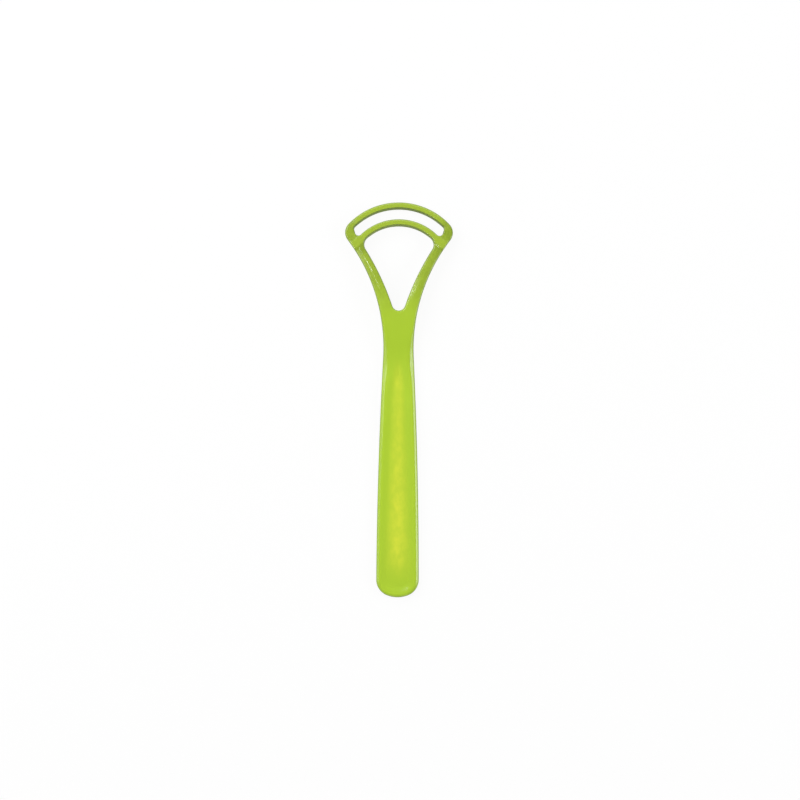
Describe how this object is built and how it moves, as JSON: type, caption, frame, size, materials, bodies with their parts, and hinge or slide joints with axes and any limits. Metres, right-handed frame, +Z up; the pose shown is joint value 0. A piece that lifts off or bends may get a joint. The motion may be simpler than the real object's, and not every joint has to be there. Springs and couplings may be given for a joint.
{
  "type": "tongue scraper",
  "caption": "Hand tongue scraper moulded in green plastic: flat rounded handle, waisted neck, forked arms and two curved scraping blades set one behind the other.",
  "frame": {"origin": "middle of the tool's length and width, on the plane that its flat back rests on", "axes": "+X to the right seen from the front, +Y from the handle to the head, +Z up out of the front face"},
  "size_m": [0.045, 0.165, 0.0067],
  "materials": {
    "green_plastic": "smooth moulded, slightly translucent"
  },
  "bodies": {
    "root": {"handle": "green_plastic", "neck": "green_plastic", "left_arm": "green_plastic", "right_arm": "green_plastic", "left_shoulder": "green_plastic", "right_shoulder": "green_plastic", "inner_blade": "green_plastic", "outer_blade": "green_plastic"}
  },
  "joints": []
}
